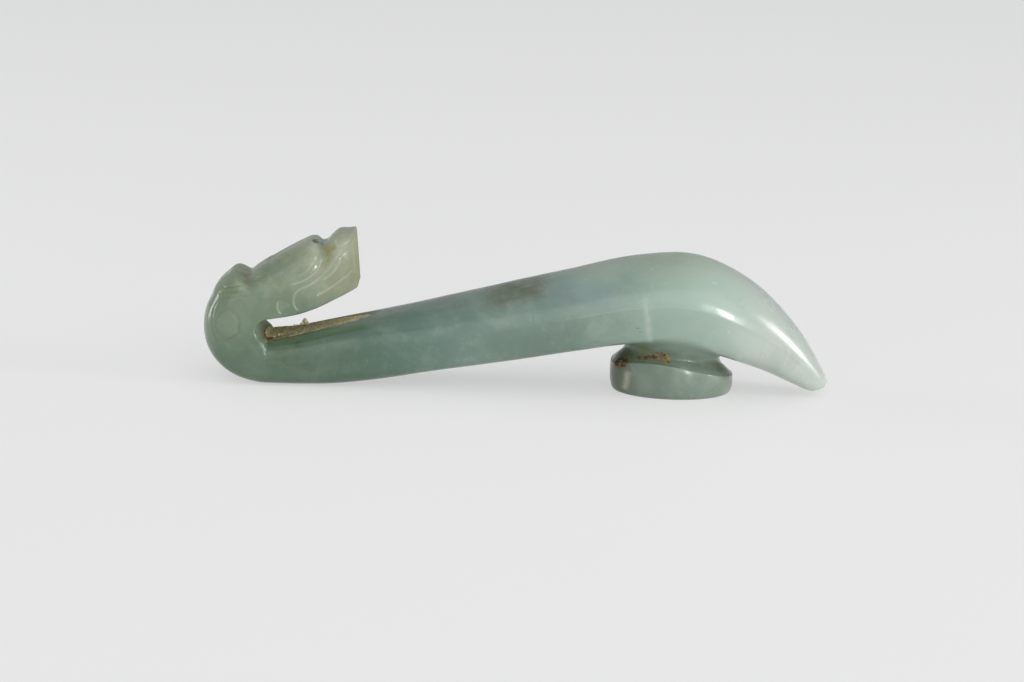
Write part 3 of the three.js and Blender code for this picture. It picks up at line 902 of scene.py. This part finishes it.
def jade_colour(n, x, z):
    """The stone's tones along the hook with painted light, and over them its regions with painted shade and
    light, clouds, stains, powder and painted highlights.
    """
    drift = n.ranged(n.noise(60, 2), 0.3, 0.7, -0.05, 0.05)
    along = n.ranged(x, -BEND_REACH * MM, TAIL_REACH * MM, kind="LINEAR")
    colour = n.ramp(n.math("ADD", along, drift), JADE_AND_LIGHT_TONES)
    head = n.times(n.span(z, 11.5, 16.5), n.span(x, -48, -53))
    colour = n.tint(colour, head, 0.8, (126, 140, 112))
    colour = n.tint(colour, n.times(head, n.span(x, -66, -55)), 0.85, (152, 155, 126))
    for mask, share, tone in REGIONS:
        colour = n.tint(colour, mask, share, tone)
    # painted shade: the button's left end darker, away from the light
    colour = n.tint(colour, "foot", n.span(x, -5.5, -10.5, 0, 0.6), (96, 98, 78))
    colour = n.tint(colour, n.span(z, 19, 23.5, 0, 0.35), n.span(x, -68, -62), (184, 190, 164))
    clouds = n.ranged(n.noise(150, 4, 0.6, 0.6), 0.42, 0.72)
    colour = n.tint(colour, clouds, 0.22, (186, 198, 186))
    deep = n.ranged(n.noise(95, 3, 0.5, 0.4), 0.5, 0.75)
    colour = n.tint(colour, deep, 0.22, (92, 126, 112))
    flecks = n.ranged(n.noise(620, 4, 0.65), 0.5, 0.78)
    colour = n.tint(colour, flecks, 0.12, (206, 212, 200))
    # the pale vein, with the painted reflection along the side and the painted highlight on the button
    colour = n.tint(colour, "vein_and_highlight", 0.42, (214, 220, 210))
    colour = n.tint(colour, "rim", 0.7, (142, 136, 98))
    mottle = n.times(head, n.ranged(n.noise(380, 4, 0.62, 0.3), 0.46, 0.7))
    colour = n.tint(colour, mottle, 0.2, (190, 192, 160))
    green = n.times(head, n.ranged(n.noise(210, 3, 0.5, 0.5), 0.5, 0.68))
    colour = n.tint(colour, green, 0.3, (112, 146, 124))
    # painted shade: the neck and the shaft darker towards the bottom
    low = n.times(n.span(z, 11.5, 4), n.span(x, -30, -62))
    colour = n.tint(colour, low, 0.55, (78, 104, 82))
    grit = n.ranged(n.noise(1500, 4, 0.65), 0.36, 0.6)
    colour = n.tint(colour, "tan", n.ranged(grit, 0, 1, 0.65, 0.85), (96, 96, 66))
    stain = n.mix(n.ranged(n.noise(900), 0.5, 0.7), srgb(234, 222, 160), srgb(206, 176, 112))
    ochre = n.times("ochre", n.ranged(grit, 0, 1, 0.65, 1))
    colour = n.mix(ochre, colour, stain, "MULTIPLY")
    # soil on the slit's floor; on the far side of the slit's end the same colour is painted shade
    soil_and_shade = n.mix(n.ranged(n.noise(700), 0.4, 0.62), srgb(126, 124, 86), srgb(134, 114, 76))
    film = n.times("film", n.ranged(grit, 0, 1, 0.55, 0.9))
    colour = n.mix(film, colour, soil_and_shade)
    colour = n.tint(colour, "olive", n.ranged(grit, 0, 1, 0.5, 1), (58, 62, 34))
    # pale powder in the grooves, which also stands for painted highlights on their edges
    return n.tint(colour, "groove", 0.48, (220, 220, 198))


def jade_material():
    n = Nodes("jade")
    split = n.node("ShaderNodeSeparateXYZ")
    n.link(n.where, split.inputs["Vector"])
    x, z = split.outputs["X"], split.outputs["Z"]
    n.set("Base Color", jade_colour(n, x, z))
    n.set("Subsurface Weight", 0.6)
    n.set("Subsurface Radius", (0.75, 1, 0.85))
    n.set("Subsurface Scale", 1.4 * MM)
    n.set("IOR", 1.6)
    polish = n.ranged(n.noise(340, 3), 0.3, 0.75, 0.15, 0.28)
    polish = n.math("ADD", polish, n.span(x, 8, 20, 0, 0.07))
    dull = n.math("MAXIMUM", "ochre", "tan")
    dull = n.math("MAXIMUM", dull, "groove")
    dull = n.math("ADD", n.times(dull, 0.25), n.times("matte", 0.65))
    dull = n.math("ADD", dull, n.times("rim", 0.5))
    n.set("Roughness", n.math("ADD", polish, dull))
    # the tail has a second, softer polish over the first
    n.set("Coat Weight", n.span(x, 4, 16, 0, 0.9))
    n.set("Coat Roughness", 0.3)
    fine = n.bump(n.noise(2600, 3), 0.01, 0.5)
    n.set("Normal", n.bump(n.noise(420, 3, 0.6), 0.03, 0.4, fine))
    return n.material


CRUST_TONES = [
    (0.3, (140, 120, 82)),
    (0.43, (184, 168, 124)),
    (0.55, (206, 194, 152)),
    (0.72, (230, 222, 192)),
]


def crust_material():
    n = Nodes("encrustation")
    tone = n.noise(800, 5, 0.75)
    colour = n.ramp(tone, CRUST_TONES)
    colour = n.tint(colour, n.ranged(n.grains(2300), 0.34, 0.1), 0.4, (206, 198, 160))
    specks = n.ranged(n.noise(2900, 2), 0.62, 0.74)
    colour = n.tint(colour, specks, 0.5, (80, 66, 42))
    patchy = n.ranged(n.noise(1300, 3), 0.35, 0.6, 0.7, 1)
    n.set("Base Color", n.tint(colour, "edge", patchy, (92, 68, 32)))
    n.set("Roughness", n.ranged(tone, 0.3, 0.7, 0.95, 0.75))
    n.set("Normal", n.bump(n.noise(3200, 4, 0.7), 0.06, 0.8))
    return n.material


GRIT_TONES = [
    (0.02, (48, 36, 22)),
    (0.16, (110, 88, 44)),
    (0.4, (180, 162, 108)),
    (0.6, (206, 194, 152)),
    (0.82, (234, 226, 194)),
    (1.0, (252, 244, 212)),
]


def grit_material():
    n = Nodes("grit")
    tone = n.noise(2400, 4, 0.7)
    grain_tone = n.math("ADD", "tone", n.ranged(tone, 0.3, 0.7, -0.06, 0.06))
    n.set("Base Color", n.ramp(grain_tone, GRIT_TONES))
    n.set("Roughness", n.ranged(tone, 0.3, 0.7, 0.8, 0.6))
    n.set("Normal", n.bump(tone, 0.05, 0.8))
    return n.material


jade = jade_material()
crust = crust_material()
grit = grit_material()
jade_carving = add_object("jade_carving", jade_mesh, jade)
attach(jade_carving, "root")
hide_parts("dragon_head", "neck_bend", "shaft", "hump", "tail", "button_stem", "button")


# Soil
CRUST_ROOT = 0.25  # how far a crust reaches into the stone


def soil_piece(name, mesh, material):
    piece = add_object(name, mesh, material)
    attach(piece, "root")


def crust_patch(name, grid, surface_normals, thickness, edge):
    """A thin crust over part of a grid, seen only where its thickness is above zero; returns its top."""
    n, m = grid.shape[:2]
    upper = grid + surface_normals * thickness[..., None]
    lower = grid - surface_normals * CRUST_ROOT
    idx = np.arange(n * m).reshape(n, m)
    quads = np.stack([idx[:-1, :-1], idx[:-1, 1:], idx[1:, 1:], idx[1:, :-1]], -1).reshape(-1, 4)
    faces = quads.tolist() + np.roll(quads[:, ::-1] + n * m, 1, 1).tolist()
    rim = np.concatenate([idx[0, :-1], idx[:-1, -1], idx[-1, :0:-1], idx[:0:-1, 0]])
    after = np.roll(rim, -1)
    faces += np.stack([rim, rim + n * m, after + n * m, after], -1).tolist()
    mesh = new_mesh(name, np.concatenate([upper.reshape(-1, 3), lower.reshape(-1, 3)]), faces)
    point_values(mesh, "edge", np.tile(edge.ravel(), 2))
    soil_piece(name, mesh, crust)
    return upper


def fine_patch(grid, rows, columns):
    """A denser copy of a grid, by linear steps between its points."""
    for axis, count in ((0, rows), (1, columns)):
        at = np.linspace(0, grid.shape[axis] - 1, count)
        low = np.floor(at).astype(int).clip(0, grid.shape[axis] - 2)
        share = np.expand_dims(at - low, (1 - axis, 2))
        grid = lerp(grid.take(low, axis), grid.take(low + 1, axis), share)
    return grid


def open_normals(grid, outward):
    n = unit_cross(np.gradient(grid, axis=0), np.gradient(grid, axis=1))
    return n if (n.mean((0, 1)) @ outward) > 0 else -n


def grain_height(grid, seed):
    return (
        0.5 * np.abs(waves(grid, 0.55, seed))
        + 0.35 * np.abs(waves(grid, 0.3, seed + 1))
        + 0.4 * waves(grid, 1.6, seed + 2)
    )


# Crust on the slit's floor and the lower part of its end
FLOOR_POINTS, FLOOR_HALF = 640, 76  # points round a section, and how many of them from the middle out
floor_ribs = np.concatenate(
    [body_rib(np.linspace(-46.5, SLIT_END_X, 80)), bend_rib(np.linspace(0, 0.8, 30)[1:])]
)
floor_grid = rings_of(floor_ribs, FLOOR_POINTS)
floor_grid = np.concatenate([floor_grid[:, -FLOOR_HALF:], floor_grid[:, : FLOOR_HALF + 1]], 1)
floor_grid = fine_patch(floor_grid, 360, 170)
floor_normals = open_normals(floor_grid, np.array([0.1, 0, 1]))
floor_x, floor_y, floor_z = [floor_grid[..., k] for k in range(3)]
# the crust is a wedge, wide at the slit's end and narrow towards the mouth: place and half width
WEDGE = [
    (-68.8, -1.0), (-68.4, 1.5), (-68.0, 4.7), (-67.1, 5.25), (-66.3, 4.8),
    (-65.1, 4.2), (-61.7, 3.3), (-57.0, 2.6), (-52.5, 1.7), (-49.0, 0.0),
]
reach = np.interp(floor_x, *np.array(WEDGE).T)
shifted = floor_y + 0.4 * ease(-64, -56, floor_x)
floor_ragged = 0.22 * waves(floor_grid, 1.3, 41) + 0.1 * waves(floor_grid, 0.6, 44)
cover = ease(reach + 0.25, reach - 0.25, np.abs(shifted) + floor_ragged)
cover *= ease(-47.5, -55, floor_x + 1.6 * waves(floor_grid, 1.8, 42))
end_top = SLIT_END_Z - 1.0 + 0.35 * waves(floor_grid, 1.1, 45)
end_wall = (floor_x < SLIT_END_X) * ease(SLIT_END_Z - 1.8, SLIT_END_Z - 1, floor_z)
cover *= ease(end_top + 0.35, end_top - 0.35, floor_z) + (floor_x > -66)
cover = np.clip(cover, 0, 1)
thickness = -0.08 + cover * (0.12 + 0.07 * grain_height(floor_grid, 43) + 0.03 * end_wall)
near_edge = ease(1.5, 0.5, reach + shifted + floor_ragged) * ease(-62.5, -65.5, floor_x)
from_rust = np.hypot((floor_x + 67.4) / 0.8, (floor_y + 4.2) / 1.2) + 0.2 * waves(floor_grid, 0.8, 47)
slit_edge = np.maximum(0.8 * near_edge, ease(1.2, 0.5, from_rust))
slit_top = crust_patch("slit_encrustation", floor_grid, floor_normals, thickness, slit_edge)

# Residue on the button's shoulder and stem: start, end, radius, rust and the grains' mean tone
SHOULDER_MARKS = [
    ((-9.3, -3.5, 5.1), (-8.4, -4.7, 5.2), 1, 1, 0),
    ((-5.7, -5.2, 6.35), (-3.2, -5.5, 6.6), 0.46, 0.9, 0.12),
    ((-2.6, -5.6, 6.9), (-1.5, -5.8, 6.8), 0.78, 0.7, 0.26),
    ((-1.4, -5.9, 6.6), (-1, -6.4, 6.1), 0.65, 0.6, 0.3),
]
SHOULDER_ROWS = slice(30, 76)  # of the button's rings
NEAR_COLUMNS = (np.arange(-40, 84) + 164) % len(OVAL)  # of a ring's points, on the near side
shoulder_grid = fine_patch(button[SHOULDER_ROWS, NEAR_COLUMNS], 220, 420)
shoulder_normals = open_normals(shoulder_grid, np.array([0, -1, 0.6]))
shoulder_cover = np.zeros(shoulder_grid.shape[:2])
shoulder_edge = np.zeros_like(shoulder_cover)
shoulder_tone = np.full_like(shoulder_cover, 0.4)
ragged = 0.22 * waves(shoulder_grid, 0.9, 51) + 0.14 * waves(shoulder_grid, 0.4, 52)
for start, end, radius, rust, mark_tone in SHOULDER_MARKS:
    run = np.array(end) - np.array(start)
    t = np.clip(((shoulder_grid - start) @ run) / (run @ run), 0, 1)
    r = np.linalg.norm(shoulder_grid - start - t[..., None] * run, axis=2) / radius
    here = ease(1.2, 0.75, r + ragged)
    shoulder_edge = np.where(here > shoulder_cover, rust, shoulder_edge)
    shoulder_tone = np.where(here > shoulder_cover, mark_tone, shoulder_tone)
    shoulder_cover = np.maximum(shoulder_cover, here)
shoulder_height = -0.07 + shoulder_cover * (0.1 + 0.06 * grain_height(shoulder_grid, 53))
shoulder_top = crust_patch(
    "shoulder_encrustation", shoulder_grid, shoulder_normals, shoulder_height, shoulder_edge
)


def ball(subdivisions):
    """Points and faces of a ball of radius 1."""
    made = bmesh.new()
    bmesh.ops.create_icosphere(made, subdivisions=subdivisions, radius=1)
    shape = np.array([v.co for v in made.verts])
    corners = np.array([[v.index for v in f.verts] for f in made.faces])
    made.free()
    return shape, corners


def grit_piece(name, verts, corners, tones):
    """Grains or lumps as one piece, from each one's points and tone, dark at 0 and pale at 1."""
    count, size = verts.shape[:2]
    faces = corners + (np.arange(count) * size)[:, None, None]
    mesh = new_mesh(name, verts.reshape(-1, 3), faces.reshape(-1, 3).tolist())
    point_values(mesh, "tone", np.repeat(tones, size))
    soil_piece(name, mesh, grit)


def scattered(name, surface, surface_normals, cover, mean_tone, count, seed):
    """Sand grains scattered over a crust, each a small uneven lump with a tone of its own."""
    rng = np.random.default_rng(seed)
    shape, corners = ball(2)
    spots = rng.choice(np.flatnonzero(cover.ravel() > 0.55), count)
    radius = 0.06 * rng.uniform(1, 2.4, count) ** 1.1
    sunk = surface_normals.reshape(-1, 3)[spots] * radius[:, None] * 0.35
    centre = surface.reshape(-1, 3)[spots] - sunk
    tones = np.clip(mean_tone.ravel()[spots] + rng.normal(0, 0.11, count), 0.02, 0.98)
    squash = radius[:, None] * rng.uniform(0.7, 1.15, (count, 3))
    dents = 0.18 * waves(shape + 9 * rng.random((count, 1, 3)), 1.6, seed + 1)
    verts = centre[:, None] + shape * (1 + dents[..., None]) * squash[:, None]
    grit_piece(name, verts, corners, tones)


slit_tone = 0.56 - 0.42 * slit_edge
scattered("slit_grains", slit_top, floor_normals, cover, slit_tone, 1500, 81)
scattered(
    "shoulder_grains", shoulder_top, shoulder_normals, shoulder_cover, shoulder_tone, 220, 91
)


def seated(place, surface):
    """The point of a surface's grid that is closest to a place."""
    spots = surface.reshape(-1, 3)
    return spots[((spots - place) ** 2).sum(1).argmin()]


LUMP_SHAPE = np.array([1, 0.85, 1.05])


def lumps_of(name, lumps, tone):
    """A few broken lumps of grit, narrower at the top: middle and radius of each."""
    shape, corners = ball(4)
    taper = 1 - np.array([0.4, 0.4, 0]) * np.clip(shape[:, 2:] + 0.2, 0, 1)
    verts = []
    for k, (place, radius) in enumerate(lumps):
        size = 1 + 0.12 * waves(shape, 1.9, 60 + k) + 0.06 * waves(shape, 0.8, 70 + k)
        verts.append(shape * taper * size[:, None] * (radius * LUMP_SHAPE) + place)
    grit_piece(name, np.array(verts), corners, [tone] * len(lumps))


SLIT_LUMPS = [
    ((-61.95, 2.9, 9), 0.54),
    ((-61.5, 2.6, 8.6), 0.34),
    ((-62.6, 2.8, 8.5), 0.26),
    ((-63.8, 3, 8.15), 0.2),
    ((-63.4, 3.1, 8.2), 0.14),
    ((-65.9, -2.7, 7.75), 0.17),
]
SHOULDER_LUMPS = [
    (seated((-1.4, -5.25, 7.3), shoulder_top), 0.17),
    (seated((-0.9, -6.6, 6), shoulder_top), 0.22),
]
lumps_of("slit_grit", SLIT_LUMPS, 1)
lumps_of("shoulder_specks", SHOULDER_LUMPS, 0)

# Floor, light and camera
FLOOR_HALF_SIZE = 3000
ground = Nodes("ground")
floor_tone = ground.mix(ground.noise(6, 3), srgb(240, 240, 238), srgb(245, 245, 243))
ground.set("Base Color", floor_tone)
ground.set("Roughness", 0.55)
# seen by the camera and in reflections the floor is paler, and it keeps its shadows
glow = ground.node("ShaderNodeEmission")
blend = ground.node("ShaderNodeMixShader")
path = ground.node("ShaderNodeLightPath").outputs
reflected = ground.math("MAXIMUM", path["Is Glossy Ray"], path["Is Transmission Ray"])
seen = ground.math("MAXIMUM", path["Is Camera Ray"], reflected)
ground.link(ground.times(seen, 0.5), blend.inputs[0])
ground.link(ground.shader.outputs[0], blend.inputs[1])
ground.link(glow.outputs[0], blend.inputs[2])
ground.link(blend.outputs[0], ground.tree.nodes["Material Output"].inputs["Surface"])
corners = FLOOR_HALF_SIZE * np.array([(-1, -1, 0), (1, -1, 0), (1, 1, 0), (-1, 1, 0)])
ground_plane = add_object("ground", new_mesh("ground", corners, [(0, 1, 2, 3)]), ground.material)

world = bpy.data.worlds.new("studio")
bpy.context.scene.world = world
world.use_nodes = True
background = world.node_tree.nodes["Background"].inputs
background["Color"].default_value = (0.96, 0.98, 1, 1)
background["Strength"].default_value = 0.4


def softbox(name, place, aim, width, height, light_given):
    """An area light that gives about the stated share of full light at the place it is aimed at."""
    light = bpy.data.lights.new(name, "AREA")
    light.shape = "RECTANGLE"
    light.size, light.size_y = width, height
    ray = Vector(aim) - Vector(place)
    light.energy = light_given * (math.pi * ray.length) ** 2
    obj = bpy.data.objects.new(name, light)
    obj.location = place
    obj.rotation_euler = ray.to_track_quat("-Z", "Y").to_euler()
    obj.visible_camera = False
    bpy.context.scene.collection.objects.link(obj)


softbox("key_right", (0.595, -0.127, 0.13), (0, 0, 0.012), 0.15, 0.15, 0.28)
softbox("right_glow", (0.598, -0.095, 0.14), (0, 0, 0.012), 0.3, 0.28, 0.12)
softbox("front_fill", (0.15, -0.85, 0.38), (-0.02, 0, 0.012), 1.2, 0.9, 0.34)
softbox("front_spot", (0.298, -0.589, 0.026), (0, 0, 0.014), 0.038, 0.072, 0.16)
softbox("rim_left", (-0.55, 0.087, 0.08), (-0.07, 0, 0.012), 0.21, 0.26, 0.31)
softbox("overhead", (0, 0, 1), (-0.027, 0, 0.012), 1.2, 1.2, 0.1)

# The camera looks along +Y from 13 degrees above, a little turned about its own axis
PICTURE_WIDTH, PIXELS_PER_MM, SENSOR_WIDTH = 1024, 5.933, 36
DISTANCE, ELEVATION, ROLL = 480.0, math.radians(13), math.atan(0.032)
TARGET = Vector((-26.96, 1.61, 6.97))
turn = Matrix.Rotation(math.pi / 2 - ELEVATION, 4, "X") @ Matrix.Rotation(ROLL, 4, "Z")
place = (TARGET + DISTANCE * turn.col[2].to_3d()) * MM
camera = bpy.data.objects.new("camera", bpy.data.cameras.new("camera"))
camera.matrix_world = Matrix.Translation(place) @ turn
camera.data.sensor_width = SENSOR_WIDTH
camera.data.lens = SENSOR_WIDTH * DISTANCE / (PICTURE_WIDTH / PIXELS_PER_MM)
camera.data.clip_start = 0.01
bpy.context.scene.collection.objects.link(camera)
bpy.context.scene.camera = camera
bpy.context.scene.view_settings.view_transform = "Standard"
